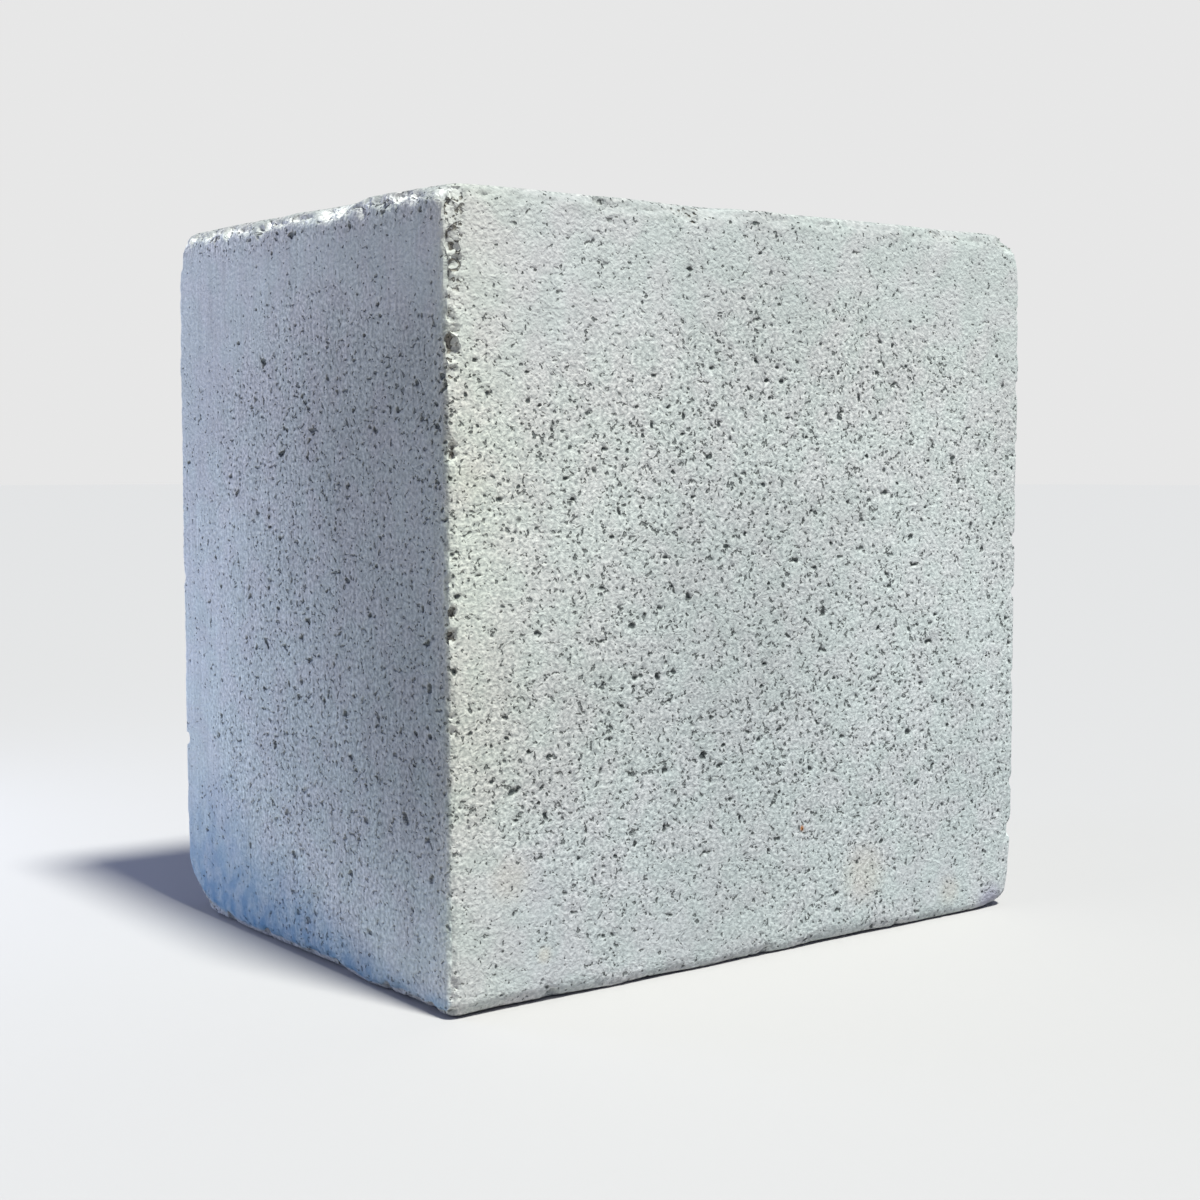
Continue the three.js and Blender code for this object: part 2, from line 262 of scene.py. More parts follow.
class BlockSizes(PropertyGroup):
    voxel: size("Voxel", "Grid that the pressed solid is remeshed on", 0.0007)
    most_faces: IntProperty(
        name="Most faces", description="Triangles left in the finished mesh", default=190000
    )
    hollow: size("Hollow", "Length of the larger hollows", 0.0024)
    hollow_rarity: share("Hollow rarity", "Higher leaves fewer and smaller hollows", 0.680)
    hollow_depth: size("Hollow depth", "Depth of the larger hollows", 0.0006)
    hollow_slope: share("Hollow slope", "Lower gives the larger hollows steeper sides", 0.10)
    pit: size("Pit", "Length of the small pits", 0.00112)
    pit_rarity: share("Pit rarity", "Higher leaves fewer and smaller pits", 0.646)
    pit_depth: size("Pit depth", "Depth of the small pits", 0.0009)
    pit_slope: share("Pit slope", "Lower gives the small pits steeper sides", 0.12)
    crowding_reach: share("Crowding", "How much the rarity of the pits drifts from place to place", 0.025)
    patch: size("Patch", "Length of the patches where pits crowd together", 0.036)
    cluster: size("Cluster", "Length of the small clusters that pits gather in", 0.0065)
    clustering: share("Clustering", "How much the rarity of the pits drifts between clusters", 0.011)
    ragged: size("Ragged", "Length of the raggedness of the pits' rims", 0.0018)
    ground_relief: size("Ground relief", "Unevenness of the ground between the small pits", 0.00033)
    grain: size("Sand grain", "Size of the mottling that the sand gives the paste", 0.0010)
    grain_relief: size("Grain relief", "How far the sand stands out of the paste", 0.0003)
    crumb: size("Crumb", "Size of the lumps on the crumbled arrises", 0.0018)
    crumb_depth: size("Crumb depth", "How deep the gaps between those lumps are", 0.0009)
    crumb_reach: size("Crumb reach", "How far in from a bed arris the crumbling runs", 0.0050)
    upright_share: share("Upright share", "How far it runs at the upright arrises, as a share", 0.4)
    upright_calm: share("Upright calm", "How strongly the upright arrises are crumbled", 0.3)
    crack_depth: size("Crack depth", "Depth of the finest cracks between crumbs", 0.0007)
    strip_reach: size("Strip reach", "Width of the front face's crumbled strip", 0.0055)
    strip_foot: size("Strip foot", "How far that strip runs down from the top bed", 0.024)
    tooth: size("Tooth", "Length of the teeth along the ragged arris", 0.0050)
    tooth_depth: size("Tooth depth", "Depth of those teeth", 0.0024)
    wave: size("Wave", "Length of the slow waves in the pressed faces", 0.03)
    wave_depth: size("Wave depth", "Depth of those waves", 0.0003)
    upright_radius: size("Upright radius", "Most rounding of the upright arrises", 0.0015)
    bed_radius: size("Bed radius", "Most rounding of the arrises round the beds", 0.0058)


class ConcreteLook(PropertyGroup):
    cement: colour("Cement", "The hardened cement paste", (0.48, 0.505, 0.50))
    pale_sand: colour("Pale sand", "The lightest sand grains", (0.67, 0.68, 0.66))
    dark_sand: colour("Dark sand", "The darkest sand grains", (0.29, 0.305, 0.305))
    # Painted shade: the dark painted into the pits and hollows.
    pit: colour("Pit", "The bottom of a pit", (0.05, 0.06, 0.06))
    worn: colour("Worn", "The crumbs and dust on the worn arrises", (0.54, 0.54, 0.505))
    # Partly dust, partly a painted highlight where the key light catches the ragged arris.
    dust_and_highlight: colour("Dust", "The bright dust on the ragged arris", (0.86, 0.855, 0.84))
    # Painted shade: the dark of the gaps and cracks between crumbs.
    gap: colour("Gap", "The gaps between crumbs", (0.235, 0.218, 0.187))
    # Painted shade: the blue shade at the foot of the left end.
    foot_shade: colour("Damp", "The foot of the left end, where damp has risen", (0.122, 0.245, 0.388))
    rust: colour("Rust", "A grain of iron that has rusted", (0.36, 0.13, 0.03))
    sandy: colour("Sandy stain", "The faint stains low on the front face", (0.50, 0.43, 0.34))
    bruise: colour("Bruise", "The dark scuff at the foot of the right arris", (0.27, 0.26, 0.36))
    # Only makes broad parts of the front face paler.
    paler_patch: colour("Bloom", "The pale bloom of lime on the front face", (0.70, 0.75, 0.735))
    shade: colour("Shade", "The greyer middle of the front face", (0.30, 0.32, 0.315))
    roughness: share("Roughness", "Roughness of the cement", 0.93)
    gloss: share("Gloss", "How strongly the cement reflects, as its specular level", 0.25)


class StageSettings(PropertyGroup):
    floor: colour("Floor", "The pale floor", (0.456, 0.433, 0.430))
    floor_radius: size("Floor radius", "Radius of the round floor", 6.0)
    floor_sides: IntProperty(name="Floor sides", description="Sides of the round floor", default=96)
    floor_roughness: share("Floor roughness", "Roughness of the floor", 0.8)
    backdrop: colour("Backdrop", "The pale backdrop", (0.80, 0.80, 0.80))
    sky: colour("Sky", "The soft light from all round", (0.15, 0.18, 0.29))
    key: colour("Key", "The key light", (0.955, 1.0, 0.94))
    key_strength: number("Key strength", "Strength of the key light", 5.8)
    key_from: place_or_way(
        "Key from", "Where the key light comes from", (0.05, -0.40, 0.92), "DIRECTION"
    )
    key_softness: angle("Key softness", "Angle that the key light spreads over", 9)
    fill: colour("Fill", "The soft fill light beside the left end", (0.56, 0.68, 1.0))
    fill_power: number("Fill power", "Power of the fill light in watts", 0.75)
    fill_place: place_or_way(
        "Fill place", "Where the fill light stands", (-0.30, 0.28, 0.08), "TRANSLATION"
    )
    fill_width: size("Fill width", "Width of the fill light", 0.20)
    camera_place: place_or_way(
        "Camera place", "Where the camera stands", (-0.3258, -0.4342, 0.1315), "TRANSLATION"
    )
    camera_turn: angle("Camera turn", "Turn of the camera from +Y towards +X", 36.88)
    camera_dip: angle("Camera dip", "How far the camera looks down", 4.62)
    lens: number("Lens", "Focal length in millimetres", 57.8)
    nearest: size("Nearest", "Nearest distance that the camera sees", 0.01)


# ---- Nodes ----


class Nodes:
    """Adds nodes to one tree. Shader trees and geometry trees take the same calls."""

    def __init__(self, tree):
        self.tree = tree

    def add(self, kind, values=None, **settings):
        node = self.tree.nodes.new(kind)
        for name, setting in settings.items():
            setattr(node, name, setting)
        for key, value in (values or {}).items():
            self.feed(node.inputs[key], value)
        return node

    def feed(self, socket, value):
        if isinstance(value, NodeSocket):
            self.tree.links.new(value, socket)
        elif value is not None:
            socket.default_value = value

    def math(self, operation, *values):
        return self.add("ShaderNodeMath", dict(enumerate(values)), operation=operation).outputs[0]

    def plus(self, first, second):
        return self.math("ADD", first, second)

    def minus(self, first, second):
        return self.math("SUBTRACT", first, second)

    def times(self, first, second):
        return self.math("MULTIPLY", first, second)

    def least(self, first, second):
        return self.math("MINIMUM", first, second)

    def most(self, first, second):
        return self.math("MAXIMUM", first, second)

    def away(self, value, middle):
        """How far a value is from the middle given, on either side."""
        return self.math("ABSOLUTE", self.minus(value, middle))

    def vector(self, operation, *values):
        node = self.add("ShaderNodeVectorMath", operation=operation)
        for socket, value in zip(node.inputs, values):
            self.feed(socket, value)
        return node.outputs["Vector"]

    def scaled(self, vector, by):
        node = self.add("ShaderNodeVectorMath", {"Vector": vector, "Scale": by}, operation="SCALE")
        return node.outputs["Vector"]

    def measured(self, operation, *values):
        """A length that is measured on one vector or between two."""
        node = self.add("ShaderNodeVectorMath", dict(enumerate(values)), operation=operation)
        return node.outputs["Value"]

    def axes(self, vector):
        return self.add("ShaderNodeSeparateXYZ", {0: vector}).outputs

    def smooth(self, value, start, end, low=0.0, high=1.0):
        """low before start, high past end, and an even rise between."""
        values = {"Value": value, "From Min": start, "From Max": end, "To Min": low, "To Max": high}
        return self.add("ShaderNodeMapRange", values, interpolation_type="SMOOTHSTEP").outputs[0]

    def noise(self, place, length, detail=2.0, roughness=0.5):
        scale = self.math("DIVIDE", 1.0, length)
        values = {"Vector": place, "Scale": scale, "Detail": detail, "Roughness": roughness}
        return self.add("ShaderNodeTexNoise", values)

    def drift(self, place, length, detail=2.0, roughness=0.5):
        """Noise as a number, which keeps near NOISE_MIDDLE."""
        return self.noise(place, length, detail, roughness).outputs[0]

    def cells(self, place, spacing):
        """How far a place is from the middle of the nearest of many cells."""
        scale = self.math("DIVIDE", 1.0, spacing)
        return self.add("ShaderNodeTexVoronoi", {"Vector": place, "Scale": scale}).outputs["Distance"]

    def between(self, share, first, second):
        """A number between two others."""
        values = dict(zip(MIX_NUMBERS, (share, first, second)))
        return self.add("ShaderNodeMix", values).outputs[MIX_NUMBER]

    def blend(self, share, first, second, blend_type="MIX"):
        """A colour between two others."""
        node = self.add("ShaderNodeMix", data_type="RGBA", blend_type=blend_type)
        for socket, value in zip(MIX_COLOURS, (share, first, second)):
            self.feed(node.inputs[socket], value)
        return node.outputs[MIX_COLOUR]


# ---- Fields that the mesh and the concrete share ----


# A place on the block, its three axes, and how far it is on the left end rather than on the other faces.
Where = namedtuple("Where", ("place", "x", "y", "height", "on_end"))


def where_is(nodes, place):
    x, y, height = nodes.axes(place)
    return Where(place, x, y, height, nodes.smooth(x, *LEFT_END_X))


def warped(nodes, place, length, reach):
    """The place pushed about at random, so that round shapes turn ragged."""
    noise = nodes.noise(place, length, detail=1.0).outputs["Color"]
    push = nodes.vector("SUBTRACT", noise, (NOISE_MIDDLE,) * 3)
    return nodes.vector("ADD", place, nodes.scaled(push, reach))


def ragged_place(nodes, place, sizes):
    """The place that the pits are laid out in, so that their rims are ragged. The pits run a little
    longer through the wall than along it."""
    shortened = nodes.vector("MULTIPLY", place, (1.0, 1 / LONGER_THROUGH, 1.0))
    on_front = nodes.vector("ADD", shortened, (0.0, FRONT - FRONT / LONGER_THROUGH, 0.0))
    return warped(nodes, on_front, sizes.ragged, PIT_RAGGED * sizes.ragged)


def pits(nodes, place, length, rarity, crowding, slope):
    """1 at the bottom of pits of about the length given and 0 outside them, and the uneven ground they
    lie in. The higher the rarity, the fewer and smaller they are, and the lower the slope, the steeper.
    Crowding adds to them or takes away."""
    ground = nodes.drift(place, length, detail=1.0)
    level = nodes.minus(rarity, crowding)
    return nodes.smooth(ground, level, nodes.plus(level, slope)), ground


def depths_in(nodes, place):
    """How deep a place lies below each pair of opposite faces, along X, Y and Z."""
    from_centre = nodes.vector("ABSOLUTE", nodes.vector("SUBTRACT", place, CENTRE))
    return nodes.vector("SUBTRACT", HALF, from_centre)


def crumbling(nodes, where, sizes):
    """How crumbled the skin is, from 0 to 1, apart from the lumps that have dropped out of it, and the
    noise that makes its end ragged. It is most at the arrises round the beds, little at the upright
    ones, and less towards the foot."""
    reach = sizes.crumb_reach
    stretch = (1.0, 1.0, sizes.upright_share)
    x, y, z = nodes.axes(nodes.vector("MULTIPLY", depths_in(nodes, where.place), stretch))
    to_arris = nodes.most(nodes.least(x, y), nodes.least(nodes.most(x, y), z))
    distance = nodes.math("DIVIDE", to_arris, sizes.upright_share)
    uneven = nodes.drift(where.place, RIM_LENGTH * reach)
    distance = nodes.plus(distance, nodes.times(uneven, RIM_REACH * reach))
    near = nodes.smooth(distance, *(part * reach for part in RIM))
    at_bed = nodes.smooth(z, *(part * reach for part in NEAR_BED), sizes.upright_calm, 1.0)
    near = nodes.times(near, nodes.smooth(where.height, *CRUMBLING_Z))
    return nodes.times(near, at_bed), uneven


def crumbled_strip(nodes, where, uneven, sizes):
    """1 on the strip of the front face beside the left arris, near the top bed, where the paste never
    closed."""
    side = [LEFT + part * sizes.strip_reach for part in STRIP_SIDE]
    foot = [TOP - part * sizes.strip_foot for part in STRIP_FOOT]
    pushed = nodes.times(uneven, sizes.strip_reach)
    beside = nodes.smooth(nodes.plus(where.x, pushed), *side)
    upper = nodes.smooth(nodes.minus(where.height, pushed), *foot)
    on_front = nodes.smooth(where.y, *STRIP_FRONT_Y)
    off_end = nodes.smooth(where.x, *STRIP_OFF_END_X)
    return nodes.times(beside, nodes.times(upper, nodes.times(on_front, off_end)))


def depth_below_skin(nodes, where, sizes):
    """How deep a place lies below the rounded skin of the pressed block, whose rounding grows towards
    the beds."""
    near_bed = nodes.math("DIVIDE", nodes.away(where.height, CENTRE.z), HALF.z)
    near_bed = nodes.math("POWER", near_bed, BED_CURVE)
    grown = nodes.times(sizes.bed_radius - sizes.upright_radius, near_bed)
    radius = nodes.plus(sizes.upright_radius, grown)
    radii = nodes.add("ShaderNodeCombineXYZ", {0: radius, 1: radius, 2: radius}).outputs[0]
    short = nodes.vector("SUBTRACT", radii, depths_in(nodes, where.place))
    short = nodes.vector("MAXIMUM", short, (0, 0, 0))
    return nodes.minus(radius, nodes.measured("LENGTH", short))


def crowding_on_faces(nodes, where):
    """How the pits crowd on the long faces: at mid height, and along the arrises."""
    crowding = nodes.least(
        nodes.smooth(where.height, *FACE_TOP_Z), nodes.smooth(where.height, *FACE_FOOT_Z)
    )
    crowding = nodes.plus(crowding, nodes.smooth(nodes.math("ABSOLUTE", where.x), *FACE_ASIDE))
    at_beds = nodes.smooth(nodes.away(where.height, CENTRE.z), *FACE_BED_ARRISES)
    crowding = nodes.most(crowding, at_beds)
    return nodes.plus(crowding, nodes.smooth(where.x, *FACE_LEFT_ARRIS_X))


def crowding_on_end(nodes, where):
    """How they crowd on the left end: least at its top, foot and back, but right under its top arris
    and in a cluster below that."""
    crowding = nodes.plus(nodes.smooth(where.height, *END_TOP_Z), nodes.smooth(where.y, *END_BACK_Y))
    crowding = nodes.plus(crowding, nodes.smooth(where.height, *END_FOOT_Z))
    crowding = nodes.most(crowding, nodes.smooth(where.height, *END_ARRIS_Z))
    cluster = nodes.smooth(nodes.away(where.y, CLUSTER_Y), *CLUSTER_ASIDE)
    cluster = nodes.times(cluster, nodes.smooth(where.height, *CLUSTER_FOOT_Z))
    cluster = nodes.times(cluster, nodes.smooth(where.height, *CLUSTER_TOP_Z))
    return nodes.plus(crowding, cluster)


def crowding_of_pits(nodes, where, sizes):
    """What to take off the rarity of the pits, which also crowd together in patches."""
    patches = nodes.smooth(nodes.drift(where.place, sizes.patch), *PATCHES)
    crowding = nodes.between(
        where.on_end, crowding_on_faces(nodes, where), crowding_on_end(nodes, where)
    )
    return nodes.times(nodes.plus(crowding, patches), sizes.crowding_reach)


def crowding_of_hollows(nodes, where, crowding):
    """The same for the larger hollows, which are fewer on the left end, but not under its top arris."""
    fewer = nodes.smooth(where.height, *END_HOLLOWS_Z)
    return nodes.minus(crowding, nodes.times(where.on_end, fewer))


def gaps_between_crumbs(nodes, place, crumb):
    """0 on top of the lumps of a crumbled place, and up to 1 in the gaps between them."""
    ragged = warped(nodes, place, crumb, LUMP_RAGGED * crumb)
    lumps = nodes.smooth(nodes.cells(ragged, crumb), *LUMP_GAPS)
    grit = nodes.smooth(nodes.cells(ragged, GRIT_SIZE * crumb), *GRIT_GAPS)
    return nodes.plus(lumps, grit)


# ---- The block's mesh ----


def dust_and_highlight_on_end(nodes, where, crumbled, at_end):
    """The bright dust along the left end's top arris, painted paler as a highlight where the key light
    catches it.
    """
    dust_and_highlight = nodes.times(crumbled, nodes.times(at_end, nodes.smooth(where.height, *DUST_AND_HIGHLIGHT_Z)))
    return nodes.times(dust_and_highlight, nodes.smooth(where.y, *DUST_AND_HIGHLIGHT_Y))


def shaded_gaps(nodes, where, gaps, loose, depth, dust_and_highlight):
    """How much painted shade darkens the gaps between crumbs and the deep breaks: most at the open arris,
    least under the dust and painted highlight."""
    shown = nodes.times(nodes.smooth(gaps, *SHOWN_GAPS), loose)
    shown = nodes.most(shown, nodes.smooth(depth, *DEEP_BREAK))
    at_open_arris = nodes.times(
        nodes.smooth(where.x, *OPEN_ARRIS_X), nodes.smooth(where.y, *OPEN_ARRIS_Y)
    )
    shown = nodes.times(shown, nodes.smooth(at_open_arris, *SHOWN_BY_OPEN_ARRIS))
    return nodes.times(shown, nodes.smooth(dust_and_highlight, *SHOWN_UNDER_DUST_AND_HIGHLIGHT))


def keep_fields(nodes, geometry, fields):
    """Stores each field at the points of the geometry, under its name."""
    for name, field in fields.items():
        kind = "FLOAT_VECTOR" if name == PRESSED_PLACE else "FLOAT"
        values = {"Geometry": geometry, "Name": name, "Value": field}
        stored = nodes.add("GeometryNodeStoreNamedAttribute", values, data_type=kind, domain="POINT")
        geometry = stored.outputs[0]
    return geometry


def sunk_in(nodes, geometry, sinkings):
    """The geometry with its skin sunk by each field times its depth."""
    sunk = None
    for field, depth in sinkings:
        sinking = nodes.times(field, depth)
        sunk = nodes.plus(sunk, sinking) if sunk else sinking
    normal = nodes.add("GeometryNodeInputNormal").outputs[0]
    inwards = nodes.scaled(normal, nodes.times(sunk, -1.0))
    return nodes.add("GeometryNodeSetPosition", {"Geometry": geometry, "Offset": inwards}).outputs[0]


def crumbling_tree(sizes):
    """Geometry nodes that sink the larger hollows and crumble the arrises of the pressed solid."""
    tree = bpy.data.node_groups.new("Crumbling", "GeometryNodeTree")
    for in_out in ("INPUT", "OUTPUT"):
        tree.interface.new_socket(name="Mesh", in_out=in_out, socket_type="NodeSocketGeometry")
    nodes = Nodes(tree)
    where = where_is(nodes, nodes.add("GeometryNodeInputPosition").outputs[0])
    crowding = crowding_of_pits(nodes, where, sizes)
    for_hollows = crowding_of_hollows(nodes, where, crowding)
    ragged = ragged_place(nodes, where.place, sizes)
    hollow, _ = pits(nodes, ragged, sizes.hollow, sizes.hollow_rarity, for_hollows, sizes.hollow_slope)
    wave = nodes.drift(where.place, sizes.wave, detail=3.0)

    worn, uneven = crumbling(nodes, where, sizes)
    depth = depth_below_skin(nodes, where, sizes)
    broken = nodes.smooth(depth, *BROKEN_DEPTH)
    gaps = gaps_between_crumbs(nodes, where.place, sizes.crumb)
    loose = nodes.most(broken, crumbled_strip(nodes, where, uneven, sizes))
    crumbled = nodes.times(nodes.most(loose, worn), gaps)

    at_end = nodes.smooth(where.x, *CRUMBLED_END_X)
    teeth = nodes.smooth(nodes.drift(where.place, sizes.tooth, roughness=TOOTH_ROUGHNESS), *TOOTH_NOISE)
    teeth = nodes.times(nodes.times(worn, nodes.smooth(at_end, *TOOTHED_BY_END)), teeth)

    dust_and_highlight = dust_and_highlight_on_end(nodes, where, nodes.most(worn, broken), at_end)
    shown = shaded_gaps(nodes, where, gaps, loose, depth, dust_and_highlight)
    fields = {PRESSED_PLACE: where.place, CROWDING: crowding, CRUMBS: loose, SHADED_GAPS: shown, DUST_AND_HIGHLIGHT: dust_and_highlight}
    kept = keep_fields(nodes, nodes.add("NodeGroupInput").outputs["Mesh"], fields)
    sinkings = (
        (hollow, sizes.hollow_depth),
        (wave, sizes.wave_depth),
        (crumbled, sizes.crumb_depth),
        (teeth, sizes.tooth_depth),
    )
    nodes.add("NodeGroupOutput", {"Mesh": sunk_in(nodes, kept, sinkings)})
    return tree


def applied(block):
    """Gives the object the mesh that its modifiers make, and takes them off."""
    depsgraph = bpy.context.evaluated_depsgraph_get()
    mesh = bpy.data.meshes.new_from_object(
        block.evaluated_get(depsgraph), preserve_all_data_layers=True, depsgraph=depsgraph
    )
    block.modifiers.clear()
    block.data = mesh
    return mesh


def crumbled_block(sizes):
    """The pressed solid, remeshed finely, crumbled, and thinned out where it is flat."""
    block = bpy.data.objects.new("concrete_block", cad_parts[BLOCK_NODE].data.copy())
    bpy.context.collection.objects.link(block)
    remesh = block.modifiers.new("Fine grid", "REMESH")
    remesh.mode = "VOXEL"
    remesh.voxel_size = sizes.voxel * 1
    block.modifiers.new("Crumbling", "NODES").node_group = crumbling_tree(sizes)
    mesh = applied(block)
    mesh.calc_loop_triangles()
    thin = block.modifiers.new("Thinned out", "DECIMATE")
    thin.ratio = min(1.0, sizes.most_faces / len(mesh.loop_triangles))
    mesh = applied(block)
    mesh.shade_smooth()
    mesh.set_sharp_from_angle(angle=SHARP_ANGLE)
    return block


# ---- The concrete ----


def shader_group(name, inputs, outputs):
    """An empty shader node group and its nodes, with sockets given as name to type."""
    tree = bpy.data.node_groups.new(name, "ShaderNodeTree")
    for in_out, sockets in (("INPUT", inputs), ("OUTPUT", outputs)):
        for socket, kind in sockets.items():
            tree.interface.new_socket(name=socket, in_out=in_out, socket_type=f"NodeSocket{kind}")
    nodes = Nodes(tree)
    return tree, nodes, nodes.add("NodeGroupInput").outputs


def pits_group():
    """Pits of one length, and the ground they lie in."""
    numbers = ("Length", "Rarity", "Crowding", "Slope")
    inputs = {"Place": "Vector"} | {name: "Float" for name in numbers}
    tree, nodes, given = shader_group("Pits", inputs, {"Pit": "Float", "Ground": "Float"})
    pit, ground = pits(nodes, given["Place"], *(given[name] for name in numbers))
    nodes.add("NodeGroupOutput", {"Pit": pit, "Ground": ground})
    return tree


def sand_group():
    """The tone of the sand in the paste, from 0, dark, to 1, pale."""
    tree, nodes, given = shader_group("Sand", {"Place": "Vector", "Grain": "Float"}, {"Tone": "Float"})
    nodes.add("NodeGroupOutput", {"Tone": nodes.drift(given["Place"], given["Grain"])})
    return tree


def spot_group():
    """A round stain: 1 at its centre and 0 past its radius."""
    inputs = {"Place": "Vector", "Centre": "Vector", "Radius": "Float"}
    tree, nodes, given = shader_group("Spot", inputs, {"Stain": "Float"})
    distance = nodes.measured("DISTANCE", given["Place"], given["Centre"])
    core = nodes.times(given["Radius"], STAIN_CORE)
    nodes.add("NodeGroupOutput", {"Stain": nodes.smooth(distance, given["Radius"], core)})
    return tree


def grouped(nodes, tree, **values):
    return nodes.add("ShaderNodeGroup", values, node_tree=tree).outputs


def toned(nodes, base, share, low, high):
    """The base colour multiplied by a tone between the two given."""
    return nodes.blend(1.0, base, nodes.blend(share, (*low, 1), (*high, 1)), "MULTIPLY")


def kept_field(nodes, name, output="Fac"):
    return nodes.add("ShaderNodeAttribute", attribute_name=name).outputs[output]


def painted_light_on_faces(nodes, base, where):
    """Painted light and shade: the tone of each face from foot to top, and of the left end from front to
    back as well, as the light falls on them.
    """
    rise = nodes.smooth(where.height, *RISE_Z)
    front_tone = nodes.smooth(where.height, *END_FRONT_TONE_Z)
    across = nodes.smooth(where.y, *END_ACROSS_Y, front_tone, END_BACK_TONE)
    across = nodes.plus(across, nodes.smooth(where.height, *END_LIFT_Z))
    across = nodes.between(nodes.smooth(where.height, *END_EVEN_Z), across, END_EVEN_TONE)
    left_end = nodes.scaled(toned(nodes, base, rise, *END_LIGHT_TONES), across)
    long_face = toned(nodes, base, rise, *FACE_LIGHT_TONES)
    long_face = nodes.scaled(long_face, nodes.smooth(where.height, *FACE_TOP_SHADE_Z))
    return nodes.blend(where.on_end, long_face, left_end)


def beside_left_arris(nodes, base, where):
    """The front face is paler right beside its left arris, and warmer further along, most so at mid
    height."""
    by_arris = nodes.times(nodes.smooth(where.x, *PALER_X), nodes.smooth(where.y, *PALER_Y))
    base = toned(nodes, base, by_arris, *PALER_TONES)
    warmth = nodes.times(nodes.smooth(where.x, *WARM_X), nodes.minus(1.0, where.on_end))
    base = toned(nodes, base, warmth, *WARM_TONES)
    middle = nodes.smooth(nodes.away(where.height, CENTRE.z), *WARM_MIDDLE)
    return toned(nodes, base, nodes.times(warmth, middle), *WARM_MIDDLE_TONES)


def streaked(nodes, base, where):
    """Drag streaks from the mould, which are strongest on the left end."""
    stretched = nodes.vector("MULTIPLY", where.place, STREAK_STRETCH)
    streak = nodes.minus(nodes.drift(stretched, STREAK_LENGTH, detail=1.0), NOISE_MIDDLE)
    streaky = nodes.plus(nodes.times(where.on_end, STREAKS_ON_END), STREAKS_ON_ALL)
    streak = nodes.plus(nodes.times(streak, streaky), NOISE_MIDDLE)
    return toned(nodes, base, streak, *STREAK_TONES)


def toned_and_shaded(nodes, base, where):
    """Slow drifts of tone and tint, the painted light and shade of the faces, and drag streaks."""
    base = toned(nodes, base, nodes.drift(where.place, DRIFT_LENGTH, detail=1.0), *DRIFT_TONES)
    elsewhere = nodes.vector("ADD", where.place, TINT_SHIFT)
    tint = nodes.smooth(nodes.drift(elsewhere, TINT_LENGTH, detail=0.0), *TINT_NOISE)
    base = toned(nodes, base, tint, *TINT_TONES)
    base = painted_light_on_faces(nodes, base, where)
    base = beside_left_arris(nodes, base, where)
    return streaked(nodes, base, where)


def stained(nodes, base, place, look):
    spots = spot_group()
    for name, middle, radius, strength in STAINS:
        stain = grouped(nodes, spots, Place=place, Centre=middle, Radius=radius)["Stain"]
        base = nodes.blend(nodes.times(stain, strength), base, (*getattr(look, name), 1))
    return base


def blue_shade_at_foot(nodes, base, where, look):
    """Painted blue shade along the foot of the left end, which reaches higher towards its back arris."""
    uneven = nodes.smooth(nodes.drift(where.place, FOOT_SHADE_LENGTH, detail=0.0), *FOOT_SHADE_NOISE)
    reach = nodes.times(nodes.smooth(where.y, *FOOT_SHADE_REACH_Y), uneven)
    fade_upwards = nodes.minus(1.0, nodes.math("DIVIDE", where.height, reach))
    fade_upwards = nodes.math("POWER", nodes.most(fade_upwards, 0.0), FOOT_SHADE_CURVE)
    patchy = nodes.smooth(nodes.drift(where.place, FOOT_SHADE_PATCH_LENGTH), *FOOT_SHADE_PATCHES)
    foot_shade = nodes.times(nodes.times(fade_upwards, patchy), where.on_end)
    return nodes.blend(nodes.times(foot_shade, FOOT_SHADE_STRENGTH), base, (*look.foot_shade, 1))


def sandy_paste(nodes, tone, crowding, sizes, look):
    """The colour of the cement and its sand, which shows most where there are many pits."""
    sand = nodes.blend(tone, (*look.dark_sand, 1), (*look.pale_sand, 1))
    bare = nodes.smooth(crowding, -sizes.crowding_reach, sizes.crowding_reach / 2, *BARE_PASTE)
    return nodes.blend(bare, sand, (*look.cement, 1))


def small_and_large_pits(nodes, where, crowding, open_texture, sizes):
    """The small pits, which gather in clusters, and the larger hollows, each with its ground."""
    clustered = nodes.smooth(open_texture, 0.0, 1.0, -sizes.clustering, sizes.clustering)
    clustered = nodes.plus(crowding, clustered)
    for_hollows = crowding_of_hollows(nodes, where, crowding)
    tree, ragged = pits_group(), ragged_place(nodes, where.place, sizes)
    kinds = (
        (clustered, sizes.pit, sizes.pit_rarity, sizes.pit_slope),
        (for_hollows, sizes.hollow, sizes.hollow_rarity, sizes.hollow_slope),
    )
    return [
        grouped(nodes, tree, Place=ragged, Crowding=crowded, Length=length, Rarity=rarity, Slope=slope)
        for crowded, length, rarity, slope in kinds
    ]


def with_crumbs(nodes, base, where, crumbs, tone, look):
    """Pale crumbs where the skin is loose, mostly beside the left arris."""
    darkest = (*(WORN_DARKEST * part for part in look.worn), 1)
    loose = nodes.blend(tone, darkest, (*look.worn, 1))
    shown = nodes.smooth(where.on_end, *CRUMBS_BY_END)
    shown = nodes.times(shown, nodes.smooth(where.x, *CRUMBS_X))
    return nodes.blend(nodes.times(crumbs, shown), base, loose)


def hidden_pit_shade(nodes, where, crumbs, dust_and_highlight):
    """How far the painted shade of the pits is hidden: by crumbs that fill them, by dust and painted
    highlight, and a little all over the left end, which the key light does not reach.
    """
    covered = nodes.times(nodes.most(crumbs, dust_and_highlight), nodes.smooth(dust_and_highlight, *COVER_OF_DUST_AND_HIGHLIGHT))
    lighter_on_end = nodes.times(where.on_end, nodes.smooth(where.height, *END_LESS_PIT_SHADE_Z))
    return nodes.most(covered, lighter_on_end)


